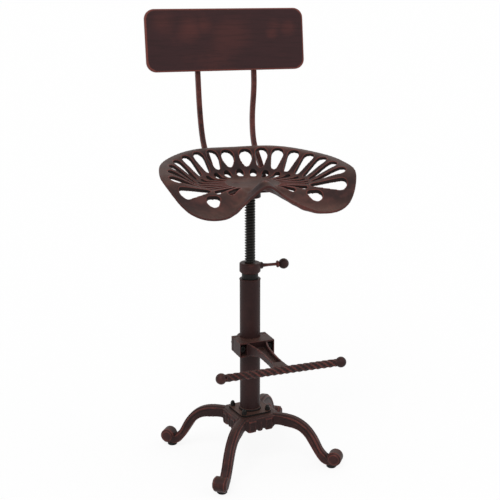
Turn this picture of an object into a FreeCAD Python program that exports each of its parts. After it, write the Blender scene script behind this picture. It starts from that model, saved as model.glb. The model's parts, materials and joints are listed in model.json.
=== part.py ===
import FreeCAD, Part
import Sketcher
import math
import os

# Tractor seat stool: scroll-footed cast base, tubular column, screw-lifted pierced
# seat pan with a backrest, clamped footrest. Millimetres, +Z up, origin on the
# column axis at the floor, the sitter faces -Y.

V = FreeCAD.Vector
X, Y, Z = V(1, 0, 0), V(0, 1, 0), V(0, 0, 1)
doc = FreeCAD.newDocument("tractor_seat_stool")

SIZES = {
    # base casting
    "base_turn": 10, "hub_flat": 47, "hub_top": 112, "hub_bottom": 84,
    "hub_wall": 8, "hub_deck": 9, "hub_bore": 43,
    "leg_width": 21, "crest_width": 12, "crest_rise": 3, "leg_start": 32, "leg_flat": 50,
    "leg_under": 85,
    "foot_reach": 198, "roll_radius": 16, "roll_width": 25, "roll_lift": 0.4,
    "roll_eye": 12.5, "roll_eye_width": 31, "bead_depth": 1.6, "bead_high": 7.5, "bead_low": 11,
    "pad_inset": 8, "pad_diameter": 22, "pad_height": 7,
    "pad_screw": 4.9, "pad_screw_hole": 5, "pad_screw_depth": 14,
    "pad_screw_head": 9, "pad_sink": 11, "pad_sink_depth": 4, "pad_screw_head_height": 2.5,
    "apron_reach": 52, "apron_half": 35, "apron_drop": 31, "apron_notch": 5,
    "pendant_half": 6, "pendant_rise": 3.5, "ball_radius": 3.6, "ball_drop": 13,
    "stem_half": 2, "bead_radius": 3.1, "bead_rise": 2.5,
    "frame_spread": 20.5, "frame_half": 9, "frame_drop": 3, "frame_border": 3.8,
    "frame_rise": 2.5,
    # column
    "flange_height": 4, "flange_half_diagonal": 53, "flange_corner": 5,
    "flange_collar": 50, "flange_collar_height": 5,
    "flange_bolt_reach": 41, "flange_bolt": 6, "flange_bolt_hole": 6.5,
    "bolt_head_height": 4, "cap_nut": 10, "cap_nut_height": 12,
    "tube_od": 45, "tube_wall": 2, "tube_top": 419, "tube_bead": 0.9, "tube_bead_height": 3,
    "nut_collar": 36, "nut_rise": 12.5, "nut_depth": 26, "nut_gap": 0.04,
    # lift screw and its lock
    "screw_od": 23, "screw_bottom": 250, "screw_gap": 0.06,
    "spigot": 18, "spigot_height": 18, "spigot_gap": 0.05, "cross_pin": 5,
    "bush_height": 22, "bush_gap": 0.08, "bush_bore_gap": 0.08, "bush_neck": 14,
    "stop_washer": 30, "stop_washer_height": 3, "stop_bolt": 8, "stop_bolt_length": 24,
    "stop_head_height": 5.3,
    "lock_od": 46, "lock_height": 23, "lock_chamfer": 3.5,
    "lever_lift": 14.2, "lever_rod": 8.5, "lever_tip": 6.5, "lever_boss": 15,
    "lever_boss_reach": 29, "lever_root": 17, "lever_reach": 77, "knob": 23, "knob_neck": 15,
    # footrest
    "rest_turn": 4, "rest_height": 271, "clamp_half": 40, "clamp_height": 33,
    "clamp_front": 45, "clamp_split": 2, "clamp_ear": 10, "clamp_wall": 6.5,
    "clamp_gap": 0.05, "clamp_bolt_spread": 31, "clamp_bolt": 8, "clamp_bolt_hole": 8.5,
    "clamp_pocket": 15, "clamp_head": 13, "clamp_head_height": 6,
    "arm_root": 23, "arm_waist": 12.5, "arm_tip": 16, "arm_depth": 17, "arm_web": 7,
    "arm_rib": 4, "bar_reach": 185, "bar_half": 133, "bar_lift": 1, "bar_across": 13.5,
    "bar_twist_pitch": 56, "bar_ball": 23,
    # seat
    "seat_floor": 633, "seat_wall": 7.5, "seat_edge": 4.5, "seat_edge_band": 0.14,
    "seat_centre": 25, "seat_gap": 0.25,
    "pommel_rise": 9.5, "pommel_share": 0.75, "pommel_length": 0.27, "pommel_spread": 42,
    "seat_rim_band": 18.5, "seat_front_band": 56, "slot_lead": 26, "slot_pitch": 43.8,
    "slot_inner": 12, "slot_inner_back": 19, "slot_outer": 24.5, "slot_outer_back": 28,
    "slot_ring_back": 112, "slot_ring_side": 122, "slot_web": 4, "slot_front_web": 18,
    "panel_back": 88, "panel_side": 57, "panel_front": 54,
    "small_slot_inner": 6, "small_slot_outer": 12, "small_slot_back": 16,
    "seat_bolt": 8, "seat_bolt_hole": 8.5, "seat_bolt_spread": 33, "seat_bolt_front": 8,
    "seat_bolt_back": 43, "seat_bolt_head": 15, "seat_bolt_head_height": 4.4,
    "seat_bolt_sink": 0.3, "countersink_gap": 0.3,
    "nut_across": 13, "nut_height": 6.5,
    "mount_thick": 7, "mount_corner": 12, "mount_half": 67, "mount_front": 58, "mount_back": 60,
    "mount_hub": 46, "mount_hub_drop": 20,
    # backrest
    "bar_width": 11, "bar_thick": 8, "bar_spread": 57.5, "bar_spread_top": 65,
    "bar_front": 58, "bar_bolt": 6, "bar_bolt_hole": 6.4, "bar_bolt_front": 50,
    "bar_bolt_back": 44, "bar_head": 12, "bar_head_height": 6,
    "back_lean": 8.6, "back_depth": 180, "back_height": 919, "back_width": 363,
    "back_tall": 136, "back_thick": 11, "back_corner": 22, "back_edge": 2.5,
    "back_screw": 5, "back_screw_hole": 5.1, "back_screw_bite": 7, "back_screw_head": 9.5,
    "back_screw_head_height": 3, "back_screw_low": 42, "back_screw_high": 38,
    "bar_top_margin": 14, "bar_run_one": 105, "bar_rise_one": 645, "bar_run_two": 157,
    "bar_rise_two": 684, "bar_run_three": 182, "bar_rise_three": 754,
}

# rim stations, from the back round to the front: angle, radius from the seat
# centre, height, and the share of the radius where the floor starts to turn
RIM = (
    (0, 160, 686.5, 0.55), (35, 171, 687.5, 0.55), (65, 188, 679, 0.55),
    (90, 202, 670.5, 0.52), (108, 215, 656, 0.45), (128, 205, 604.5, 0.32),
    (143, 171, 595, 0.30), (156, 113, 618, 0.30), (180, 103, 646, 0.30),
)
RIM_FIELDS = ("angle", "radius", "height", "turn")
RIM_SHARE = 0.93

sheet = doc.addObject("Spreadsheet::Sheet", "Dim")
cells = dict(SIZES)
for number, station in enumerate(RIM):
    for field, value in zip(RIM_FIELDS, station):
        cells["rim_%s_%s" % (field, "abcdefghij"[number])] = value
for row, (alias, value) in enumerate(cells.items(), start=1):
    sheet.set("A%d" % row, alias.replace("_", " "))
    sheet.set("B%d" % row, str(value))
    sheet.setAlias("B%d" % row, alias)
doc.recompute()
D = {alias: float(sheet.get(alias)) for alias in cells}


def size(expression):
    """Value of an expression that names cells of the sheet."""
    value = sheet.evalExpression(expression)
    return float(getattr(value, "Value", value))


def bind(thing, **fields):
    """Tie properties of an object to expressions in the sheet's cells."""
    for name, expression in fields.items():
        thing.setExpression(name, expression)
    return thing


def new_body(name, turn=0.0, place=V(0, 0, 0)):
    body = doc.addObject("PartDesign::Body", name)
    body.Label = name
    body.Placement = FreeCAD.Placement(place, FreeCAD.Rotation(Z, turn))
    return body


def plane_of(body, role):
    return next(f for f in body.Origin.OriginFeatures if f.Role == role)


def new_sketch(body, name, role="XZ_Plane", offset=None):
    sketch = body.newObject("Sketcher::SketchObject", name)
    sketch.AttachmentSupport = [(plane_of(body, role), "")]
    sketch.MapMode = "FlatFace"
    if offset:
        sketch.AttachmentOffset = offset
    return sketch


def closed_profile(sketch, corners):
    """Closed polygon whose corners are pairs of expressions, each bound to the sheet."""
    spots = [V(size(a), size(b), 0) for a, b in corners]
    count, first = len(spots), sketch.GeometryCount
    for i, spot in enumerate(spots):
        sketch.addGeometry(Part.LineSegment(spot, spots[(i + 1) % count]), False)
    for i in range(count):
        sketch.addConstraint(Sketcher.Constraint("Coincident", first + i, 2,
                                                 first + (i + 1) % count, 1))
    for i, (a, b) in enumerate(corners):
        for kind, axis, text, value in (("DistanceX", -2, a, spots[i].x),
                                        ("DistanceY", -1, b, spots[i].y)):
            if abs(value) < 1e-9:
                sketch.addConstraint(Sketcher.Constraint("PointOnObject", first + i, 1, axis))
                continue
            n = sketch.addConstraint(Sketcher.Constraint(kind, -1, 1, first + i, 1, value))
            sketch.setExpression("Constraints[%d]" % n, text)
    return sketch


def circle_sketch(sketch, x, y, radius):
    """Circle bound to expressions for its centre and radius."""
    cx, cy = size(x), size(y)
    sketch.addGeometry(Part.Circle(V(cx, cy, 0), Z, size(radius)), False)
    i = sketch.GeometryCount - 1
    for kind, axis, text, value in (("DistanceX", -2, x, cx), ("DistanceY", -1, y, cy)):
        if abs(value) < 1e-9:
            sketch.addConstraint(Sketcher.Constraint("PointOnObject", i, 3, axis))
        else:
            n = sketch.addConstraint(Sketcher.Constraint(kind, -1, 1, i, 3, value))
            sketch.setExpression("Constraints[%d]" % n, text)
    n = sketch.addConstraint(Sketcher.Constraint("Radius", i, size(radius)))
    sketch.setExpression("Constraints[%d]" % n, radius)
    return sketch


def free_profile(sketch, curves):
    for curve in curves:
        sketch.addGeometry(curve, False)
    return sketch


def spline(points, level=False):
    """Smooth curve through points, which may have to start level."""
    curve = Part.BSplineCurve()
    spots = [V(a, b, 0) for a, b in points]
    if level:
        curve.interpolate(Points=spots, InitialTangent=X, FinalTangent=spots[-1] - spots[-2])
    else:
        curve.interpolate(spots)
    return curve


def line(a, b):
    return Part.LineSegment(V(a[0], a[1], 0), V(b[0], b[1], 0))


def pad(body, sketch, length, both=False, reverse=False, name="Pad"):
    feature = body.newObject("PartDesign::Pad", name)
    feature.Profile = sketch
    feature.setExpression("Length", length)
    if both:
        feature.Midplane = True
    feature.Reversed = reverse
    sketch.Visibility = False
    return feature


def pocket(body, sketch, length=None, reverse=False, both=False, name="Pocket"):
    feature = body.newObject("PartDesign::Pocket", name)
    feature.Profile = sketch
    if length is None:
        feature.Type = 1
    else:
        feature.setExpression("Length", length)
    feature.Midplane = both
    feature.Reversed = reverse
    return feature


def spin(body, corners, name="Profile", role="XZ_Plane"):
    """Full turn of a closed profile about the body's Z axis."""
    sketch = closed_profile(new_sketch(body, name, role), corners)
    turn = body.newObject("PartDesign::Revolution", name + "Turn")
    turn.Profile = sketch
    turn.ReferenceAxis = (sketch, ["V_Axis"])
    turn.Angle = 360
    return turn


def pattern(body, originals, count, name="Around"):
    around = body.newObject("PartDesign::PolarPattern", name)
    around.Originals = originals
    around.Axis = (next(f for f in body.Origin.OriginFeatures if f.Role == "Z_Axis"), [""])
    around.Angle = 360
    around.Occurrences = count
    body.Tip = around
    return around


def edges_where(shape, test):
    return ["Edge%d" % i for i, edge in enumerate(shape.Edges, start=1) if test(edge)]


def dress(body, kind, base, names, expression, name):
    """Fillet or chamfer of the named edges."""
    feature = body.newObject("PartDesign::" + kind, name)
    feature.Base = (base, names)
    feature.setExpression("Radius" if kind == "Fillet" else "Size", expression)
    return feature


NODES = []


def keep(thing):
    NODES.append(thing)
    return thing


def loose(name, shape):
    """Object whose shape is worked out by Part functions from the sheet's values."""
    thing = doc.addObject("Part::Feature", name)
    thing.Label = name
    thing.Shape = shape
    return keep(thing)


def cylinder(radius, height, base, axis=Z):
    return Part.makeCylinder(radius, height, base, axis)


def prism(across, height, base, axis=Z, turn=0.0, sides=6):
    """Straight prism with an even number of flats, across its flats."""
    reach = across / 2 / math.cos(math.pi / sides)
    spots = [V(reach * math.cos(math.radians(turn + 360 / sides * i)),
               reach * math.sin(math.radians(turn + 360 / sides * i)), 0) for i in range(sides)]
    solid = Part.Face(Part.makePolygon(spots + spots[:1])).extrude(Z * height)
    solid.Placement = FreeCAD.Placement(base, FreeCAD.Rotation(Z, axis))
    return solid


# Base casting: four S-curved legs with scrolled feet, hub and aprons
TOP_LINE = ((0, 1), (0.168, 1.0), (0.414, 0.945), (0.584, 0.815), (0.73, 0.6),
            (0.838, 0.335), (0.918, 0.12), (1, 0))
UNDER_LINE = ((0, 1), (0.13, 1.02), (0.33, 1.0), (0.48, 0.95), (0.605, 0.8),
              (0.705, 0.56), (0.828, 0.235), (0.925, 0.055), (1, 0))

roll_z = D["pad_height"] + D["roll_radius"] + D["roll_lift"]
notch = (D["foot_reach"] - D["roll_radius"] * 0.97, roll_z + D["roll_radius"] * 0.2)
toe = (D["foot_reach"] - D["roll_radius"] * 1.15, D["pad_height"])
sole = (D["foot_reach"] + D["roll_radius"] * 0.38, D["pad_height"])
heel = (D["foot_reach"] + D["roll_radius"] * 0.7, roll_z - D["roll_radius"] * 0.4)


def along(line_points, start, end):
    return [(start[0] + (end[0] - start[0]) * u, end[1] + (start[1] - end[1]) * v)
            for u, v in line_points]


crest_start = (D["flange_half_diagonal"] + 1, D["hub_top"])
leg_top = along(TOP_LINE, crest_start, notch)
leg_under = along(UNDER_LINE, (D["leg_flat"], D["leg_under"]), toe)


def inset(points, amount):
    """Points of a line moved square to it, to its right."""
    out = []
    for i, (a, b) in enumerate(points):
        before = points[max(i - 1, 0)]
        after = points[min(i + 1, len(points) - 1)]
        run, rise = after[0] - before[0], after[1] - before[1]
        reach = math.hypot(run, rise)
        out.append((a + rise / reach * amount, b - run / reach * amount))
    return out


base = new_body("base_casting", 45 + D["base_turn"])
base.setExpression("Placement.Rotation.Angle", "45 + Dim.base_turn")
hub = closed_profile(new_sketch(base, "HubOutline", "XY_Plane"), [
    ("Dim.hub_flat * 1.41421 - Dim.leg_width / 2", "Dim.leg_width / 2"),
    ("Dim.leg_width / 2", "Dim.hub_flat * 1.41421 - Dim.leg_width / 2"),
    ("-Dim.leg_width / 2", "Dim.hub_flat * 1.41421 - Dim.leg_width / 2"),
    ("-Dim.hub_flat * 1.41421 + Dim.leg_width / 2", "Dim.leg_width / 2"),
    ("-Dim.hub_flat * 1.41421 + Dim.leg_width / 2", "-Dim.leg_width / 2"),
    ("-Dim.leg_width / 2", "-Dim.hub_flat * 1.41421 + Dim.leg_width / 2"),
    ("Dim.leg_width / 2", "-Dim.hub_flat * 1.41421 + Dim.leg_width / 2"),
    ("Dim.hub_flat * 1.41421 - Dim.leg_width / 2", "-Dim.leg_width / 2")])
hub.AttachmentOffset = FreeCAD.Placement(V(0, 0, D["hub_bottom"]), FreeCAD.Rotation())
hub.setExpression("AttachmentOffset.Base.z", "Dim.hub_bottom")
hub_pad = pad(base, hub, "Dim.hub_top - Dim.hub_bottom", name="Hub")
cavity = new_sketch(base, "HubCavity", "XY_Plane",
                    FreeCAD.Placement(V(0, 0, D["hub_bottom"]), FreeCAD.Rotation()))
cavity.setExpression("AttachmentOffset.Base.z", "Dim.hub_bottom")
inner = "(Dim.hub_flat - Dim.hub_wall) * 1.41421"
closed_profile(cavity, [(inner, "0"), ("0", inner), ("-" + inner, "0"), ("0", "-" + inner)])
cavity_cut = pocket(base, cavity, "Dim.hub_top - Dim.hub_bottom - Dim.hub_deck", reverse=True,
                    name="Cavity")
bore = circle_sketch(new_sketch(base, "HubBore", "XY_Plane"), "0", "0", "Dim.hub_bore / 2")
bore_cut = pocket(base, bore, "Dim.hub_top", reverse=True, name="Bore")


def leg_side(name, upper):
    """Side outline of a leg below the given top line."""
    return free_profile(new_sketch(base, name), [
        line((D["leg_start"], upper[0][1]), upper[0]), spline(upper, level=True),
        line(upper[-1], (D["foot_reach"], roll_z)), line((D["foot_reach"], roll_z), heel),
        line(heel, sole), line(sole, toe), spline(leg_under[::-1]),
        line(leg_under[0], (D["leg_start"], D["leg_under"])),
        line((D["leg_start"], D["leg_under"]), (D["leg_start"], upper[0][1]))])


crest_pad = pad(base, leg_side("CrestSide", leg_top), "Dim.crest_width", both=True, name="Crest")
leg_pad = pad(base, leg_side("LegSide", inset(leg_top, D["crest_rise"])), "Dim.leg_width",
              both=True, name="Leg")
rolls = []
for name, radius, width in (("Roll", "Dim.roll_radius", "Dim.roll_width"),
                            ("RollEye", "Dim.roll_eye", "Dim.roll_eye_width")):
    roll = circle_sketch(new_sketch(base, name + "Side"), "Dim.foot_reach",
                         "Dim.pad_height + Dim.roll_radius + Dim.roll_lift", radius)
    rolls.append(pad(base, roll, width, both=True, name=name))
grooves = []
for hand, reverse in ((-1, False), (1, True)):
    bead = new_sketch(base, "Bead%s" % ("Left" if hand < 0 else "Right"), "XZ_Plane",
                      FreeCAD.Placement(V(0, 0, hand * D["leg_width"] / 2),
                                        FreeCAD.Rotation()))
    bead.setExpression("AttachmentOffset.Base.z", "%d * Dim.leg_width / 2" % hand)
    upper, lower = (inset(leg_top, D[cell])[1:-1] for cell in ("bead_high", "bead_low"))
    free_profile(bead, [spline(upper), line(upper[-1], lower[-1]), spline(lower[::-1]),
                        line(lower[0], upper[0])])
    grooves.append(pocket(base, bead, "Dim.bead_depth", reverse=(hand < 0),
                          name="Groove%s" % ("Left" if hand < 0 else "Right")))

# Aprons: curtains between the legs, each with a beaded pendant between two raised frames
def apron_plane(name, reach):
    """Sketch square to the line half way between two legs, at a distance from the axis."""
    away = size(reach) * math.sqrt(0.5)
    sketch = new_sketch(base, name, "XZ_Plane",
                        FreeCAD.Placement(V(away, 0, away), FreeCAD.Rotation(Y, 45)))
    sketch.setExpression("AttachmentOffset.Base.x", "(%s) * sqrt(0.5)" % reach)
    sketch.setExpression("AttachmentOffset.Base.z", "(%s) * sqrt(0.5)" % reach)
    return sketch


def rectangle(sketch, left, right, low, high):
    return closed_profile(sketch, [(left, low), (right, low), (right, high), (left, high)])


apron_low = "(Dim.hub_top - 2 - Dim.apron_drop)"
frame_in, frame_out = "(Dim.frame_spread - Dim.frame_half)", "(Dim.frame_spread + Dim.frame_half)"
apron = apron_plane("ApronFront", "Dim.hub_flat - Dim.hub_wall + 1")
half_line = [("Dim.pendant_half", apron_low),
             ("Dim.pendant_half", apron_low + " + Dim.apron_notch"),
             (frame_in, apron_low + " + Dim.apron_notch"), (frame_in + " + 2", apron_low),
             (frame_out + " - 2", apron_low), (frame_out, apron_low + " + 2"),
             ("Dim.apron_half", apron_low + " + Dim.apron_notch"),
             ("Dim.apron_half", "Dim.hub_top - 2")]
mirrored = [("-" + across, height) for across, height in half_line[::-1]]
closed_profile(apron, half_line + mirrored)
apron_pad = pad(base, apron, "Dim.apron_reach - (Dim.hub_flat - Dim.hub_wall + 1)", name="Apron")
ball_z = "(Dim.hub_top - Dim.ball_drop)"
ornaments = [apron_pad]
stem = rectangle(apron_plane("Stem", "Dim.apron_reach"), "-Dim.stem_half", "Dim.stem_half",
                 apron_low + " + 1", ball_z)
ornaments.append(pad(base, stem, "Dim.bead_rise * 0.6", name="StemPad"))
for name, height, radius, rise in (
        ("Ball", ball_z, "Dim.ball_radius", "Dim.pendant_rise * 0.6"),
        ("BallTop", ball_z, "Dim.ball_radius * 0.65", "Dim.pendant_rise"),
        ("UpperBead", ball_z + " - Dim.ball_radius - Dim.bead_radius", "Dim.bead_radius",
         "Dim.bead_rise"),
        ("LowerBead", ball_z + " - Dim.ball_radius - Dim.bead_radius * 2.8", "Dim.bead_radius",
         "Dim.bead_rise")):
    disc = circle_sketch(apron_plane(name + "Disc", "Dim.apron_reach"), "0", height, radius)
    ornaments.append(pad(base, disc, rise, name=name))
frames = apron_plane("Frames", "Dim.apron_reach")
frame_low, frame_high = apron_low + " + 1", "(Dim.hub_top - 2 - Dim.frame_drop)"
border = "Dim.frame_border"
for sign in ("", "-"):
    near_side, far_side = sign + frame_in, sign + frame_out
    rectangle(frames, near_side, far_side, frame_low, frame_high)
    toward = " + " if sign == "" else " - "
    back = " - " if sign == "" else " + "
    rectangle(frames, near_side + toward + border, far_side + back + border,
              frame_low + " + " + border, frame_high + " - " + border)
ornaments.append(pad(base, frames, "Dim.frame_rise", name="FramePad"))

foot_hole = new_sketch(base, "FootScrewHole", "XY_Plane",
                       FreeCAD.Placement(V(0, 0, D["pad_height"]), FreeCAD.Rotation()))
foot_hole.setExpression("AttachmentOffset.Base.z", "Dim.pad_height")
circle_sketch(foot_hole, "Dim.foot_reach - Dim.pad_inset", "0", "Dim.pad_screw_hole / 2")
foot_cut = pocket(base, foot_hole, "Dim.pad_screw_depth + 1", reverse=True, name="FootScrew")
bolt_hole = circle_sketch(new_sketch(base, "FlangeBoltHole", "XY_Plane"),
                          "Dim.flange_bolt_reach", "0", "Dim.flange_bolt_hole / 2")
bolt_cut = pocket(base, bolt_hole, "Dim.hub_top + 1", reverse=True, name="FlangeBolt")
pattern(base, [crest_pad, leg_pad] + rolls + grooves + ornaments + [foot_cut, bolt_cut], 4)
keep(base)

# Foot pads and their screws
pad_screws, pad_reach = [], "(Dim.foot_reach - Dim.pad_inset)"
for i in range(4):
    angle = math.radians(45 + D["base_turn"] + 90 * i)
    foot = V(math.cos(angle), math.sin(angle), 0) * size(pad_reach)
    glide = new_body("foot_pad_%d" % (i + 1), place=foot)
    for axis, call in (("x", "cos"), ("y", "sin")):
        glide.setExpression("Placement.Base." + axis,
                            pad_reach + " * %s(45 + Dim.base_turn + %d)" % (call, 90 * i))
    r = "Dim.pad_diameter / 2"
    spin(glide, [("Dim.pad_sink / 2", "0"), (r + " - 1.5", "0"), (r, "1.5"),
                 (r + " - 0.5", "Dim.pad_height"), ("Dim.pad_screw_hole / 2", "Dim.pad_height"),
                 ("Dim.pad_screw_hole / 2", "Dim.pad_sink_depth"),
                 ("Dim.pad_sink / 2", "Dim.pad_sink_depth")])
    keep(glide)
    under = D["pad_sink_depth"] - D["pad_screw_head_height"]
    head = cylinder(D["pad_screw_head"] / 2, D["pad_screw_head_height"], foot + Z * under)
    shank = cylinder(D["pad_screw"] / 2, D["pad_height"] + D["pad_screw_depth"]
                     - D["pad_sink_depth"], foot + Z * D["pad_sink_depth"])
    pad_screws.append(head.fuse(shank).removeSplitter())
loose("foot_pad_screws", Part.makeCompound(pad_screws))

# Column: square flange, tube, and the threaded nut set in its top
flange = new_body("column_flange", 45 + D["base_turn"])
flange.setExpression("Placement.Rotation.Angle", "45 + Dim.base_turn")
d, c = "Dim.flange_half_diagonal", "Dim.flange_corner"
outline = [(d + " - " + c, c), (c, d + " - " + c), ("-" + c, d + " - " + c),
           ("-" + d + " + " + c, c), ("-" + d + " + " + c, "-" + c),
           ("-" + c, "-" + d + " + " + c), (c, "-" + d + " + " + c), (d + " - " + c, "-" + c)]
plate = closed_profile(new_sketch(flange, "PlateOutline", "XY_Plane",
                                  FreeCAD.Placement(V(0, 0, D["hub_top"]), FreeCAD.Rotation())),
                       outline)
plate.setExpression("AttachmentOffset.Base.z", "Dim.hub_top")
pad(flange, plate, "Dim.flange_height", name="Plate")
collar = new_sketch(flange, "Collar", "XY_Plane",
                    FreeCAD.Placement(V(0, 0, D["hub_top"]), FreeCAD.Rotation()))
collar.setExpression("AttachmentOffset.Base.z", "Dim.hub_top")
circle_sketch(collar, "0", "0", "Dim.flange_collar / 2")
collar_pad = pad(flange, collar, "Dim.flange_height + Dim.flange_collar_height", name="CollarPad")
tube_hole = new_sketch(flange, "TubeHole", "XY_Plane")
circle_sketch(tube_hole, "0", "0", "Dim.tube_od / 2 + Dim.nut_gap")
pocket(flange, tube_hole, "Dim.hub_top + 100", reverse=True, name="TubeSeat")
holes = new_sketch(flange, "BoltHole", "XY_Plane")
circle_sketch(holes, "Dim.flange_bolt_reach", "0", "Dim.flange_bolt_hole / 2")
hole_cut = pocket(flange, holes, "Dim.hub_top + 100", reverse=True, name="BoltHoleCut")
flange_around = pattern(flange, [hole_cut], 4)
doc.recompute()
rims = edges_where(flange.Shape, lambda e: "Circle" in str(e.Curve)
                   and abs(e.Curve.Radius - D["flange_collar"] / 2) < 0.01
                   and e.BoundBox.ZMin > D["hub_top"] + D["flange_height"] + 1)
dress(flange, "Fillet", flange_around, rims, "Dim.flange_collar_height * 0.4", "CollarRound")
keep(flange)

tube = new_body("column_tube")
outer, bore_r = "Dim.tube_od / 2", "Dim.tube_od / 2 - Dim.tube_wall"
lip = "Dim.tube_od / 2 + Dim.tube_bead"
spin(tube, [(bore_r, "Dim.hub_top"), (outer, "Dim.hub_top"),
            (outer, "Dim.tube_top - Dim.tube_bead_height"),
            (lip, "Dim.tube_top - Dim.tube_bead_height + 1"), (lip, "Dim.tube_top - 1"),
            (outer, "Dim.tube_top"), (bore_r, "Dim.tube_top")])
keep(tube)

lift_nut = new_body("lift_nut")
bore_r, plug = "Dim.screw_od / 2 + Dim.screw_gap", "Dim.tube_od / 2 - Dim.tube_wall - Dim.nut_gap"
spin(lift_nut, [(bore_r, "Dim.tube_top - Dim.nut_depth"),
                (plug + " - 1", "Dim.tube_top - Dim.nut_depth"),
                (plug, "Dim.tube_top - Dim.nut_depth + 1"), (plug, "Dim.tube_top"),
                ("Dim.nut_collar / 2", "Dim.tube_top"),
                ("Dim.nut_collar / 2", "Dim.tube_top + Dim.nut_rise"),
                (bore_r, "Dim.tube_top + Dim.nut_rise")])
keep(lift_nut)

flange_bolts, cap_nuts = [], []
seat_z = D["leg_under"]
nut_z = D["hub_top"] + D["flange_height"]
for i in range(4):
    angle = math.radians(45 + D["base_turn"] + 90 * i)
    at = V(D["flange_bolt_reach"] * math.cos(angle), D["flange_bolt_reach"] * math.sin(angle), 0)
    head = prism(D["cap_nut"], D["bolt_head_height"], at + Z * (seat_z - D["bolt_head_height"]))
    shank = cylinder(D["flange_bolt"] / 2, nut_z + D["cap_nut_height"] * 0.6 - seat_z,
                     at + Z * seat_z)
    flange_bolts.append(head.fuse(shank).removeSplitter())
    hexagon = prism(D["cap_nut"], D["cap_nut_height"] * 0.5, at + Z * nut_z,
                    turn=45 + D["base_turn"] + 90 * i)
    ball = Part.makeSphere(D["cap_nut"] * 0.45, at + Z * (nut_z + D["cap_nut_height"]
                                                         - D["cap_nut"] * 0.45))
    stem = cylinder(D["cap_nut"] * 0.45, D["cap_nut_height"] - D["cap_nut"] * 0.45, at + Z * nut_z)
    thread = cylinder(D["flange_bolt"] / 2 + 0.05, D["cap_nut_height"] * 0.6 + 0.5,
                      at + Z * nut_z)
    cap_nuts.append(hexagon.fuse([stem, ball]).removeSplitter().cut(thread))
loose("flange_bolts", Part.makeCompound(flange_bolts))
loose("flange_cap_nuts", Part.makeCompound(cap_nuts))

# Lift screw, its guide bush and the stop that keeps it in the column
screw = new_body("lift_screw")
rod, neck = "Dim.screw_od / 2", "Dim.bush_neck / 2"
plate_low = "(Dim.seat_floor - Dim.seat_wall - Dim.seat_gap - Dim.mount_thick)"
hub_low = "(" + plate_low + " - Dim.mount_hub_drop)"
spin(screw, [("0", "Dim.screw_bottom"), (neck, "Dim.screw_bottom"),
             (neck, "Dim.screw_bottom + Dim.bush_height"),
             (rod + " - 1", "Dim.screw_bottom + Dim.bush_height"),
             (rod, "Dim.screw_bottom + Dim.bush_height + 1"), (rod, hub_low),
             ("Dim.spigot / 2", hub_low), ("Dim.spigot / 2", hub_low + " + Dim.spigot_height"),
             ("0", hub_low + " + Dim.spigot_height")])
end = circle_sketch(new_sketch(screw, "EndTap", "XY_Plane"), "0", "0", "Dim.stop_bolt / 2 + 0.05")
pocket(screw, end, "Dim.screw_bottom + Dim.stop_bolt_length", reverse=True, name="EndTapCut")
pin_hole = circle_sketch(new_sketch(screw, "PinHole", "YZ_Plane"), "0",
                         hub_low + " + Dim.spigot_height / 2", "Dim.cross_pin / 2 + 0.05")
pocket(screw, pin_hole, "Dim.screw_od * 2", both=True, name="PinHoleCut")
keep(screw)

bush = new_body("guide_bush")
bush_in = "Dim.bush_neck / 2 + Dim.bush_bore_gap"
bush_out = "Dim.tube_od / 2 - Dim.tube_wall - Dim.bush_gap"
low_z, high_z = "Dim.screw_bottom", "Dim.screw_bottom + Dim.bush_height"
spin(bush, [(bush_in, low_z), (bush_out + " - 1", low_z), (bush_out, low_z + " + 1"),
            (bush_out, high_z + " - 1"), (bush_out + " - 1", high_z), (bush_in, high_z)])
keep(bush)

washer = new_body("stop_washer")
spin(washer, [("Dim.stop_bolt / 2 + 0.2", low_z + " - Dim.stop_washer_height"),
              ("Dim.stop_washer / 2", low_z + " - Dim.stop_washer_height"),
              ("Dim.stop_washer / 2", low_z), ("Dim.stop_bolt / 2 + 0.2", low_z)])
keep(washer)

washer_z = D["screw_bottom"] - D["stop_washer_height"]
stop_head = prism(D["nut_across"], D["stop_head_height"],
                  V(0, 0, washer_z - D["stop_head_height"]))
stop_shank = cylinder(D["stop_bolt"] / 2, D["stop_washer_height"] + D["stop_bolt_length"] - 2,
                      V(0, 0, washer_z))
loose("stop_bolt", stop_head.fuse(stop_shank).removeSplitter())

# Lock ring and its lever
lock = new_body("lock_ring")
low_z, high_z = "Dim.tube_top + Dim.nut_rise", "Dim.tube_top + Dim.nut_rise + Dim.lock_height"
bore_r, rim_r, k = "Dim.screw_od / 2 + Dim.screw_gap", "Dim.lock_od / 2", "Dim.lock_chamfer"
spin(lock, [(bore_r, low_z), (rim_r + " - " + k, low_z), (rim_r, low_z + " + " + k),
            (rim_r, high_z + " - " + k + " * 0.5"), (rim_r + " - " + k + " * 0.5", high_z),
            (bore_r, high_z)])
lever_z = low_z + " + Dim.lever_lift"
boss = new_sketch(lock, "BossRound", "YZ_Plane",
                  FreeCAD.Placement(V(0, 0, D["lever_root"]), FreeCAD.Rotation()))
boss.setExpression("AttachmentOffset.Base.z", "Dim.lever_root")
circle_sketch(boss, "0", lever_z, "Dim.lever_boss / 2")
boss_pad = pad(lock, boss, "Dim.lever_boss_reach - Dim.lever_root", name="Boss")
socket = new_sketch(lock, "LeverSocket", "YZ_Plane",
                    FreeCAD.Placement(V(0, 0, D["lever_root"]), FreeCAD.Rotation()))
socket.setExpression("AttachmentOffset.Base.z", "Dim.lever_root")
circle_sketch(socket, "0", lever_z, "Dim.lever_rod / 2 + Dim.nut_gap")
pocket(lock, socket, "Dim.lever_boss_reach", reverse=True, name="Socket")
doc.recompute()
mouth = edges_where(lock.Shape, lambda e: "Circle" in str(e.Curve)
                    and abs(e.Curve.Radius - D["lever_boss"] / 2) < 0.01
                    and e.BoundBox.XMin > D["lever_boss_reach"] - 0.1)
dress(lock, "Fillet", lock.Tip, mouth, "Dim.lever_boss * 0.15", "BossNose")
keep(lock)

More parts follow.
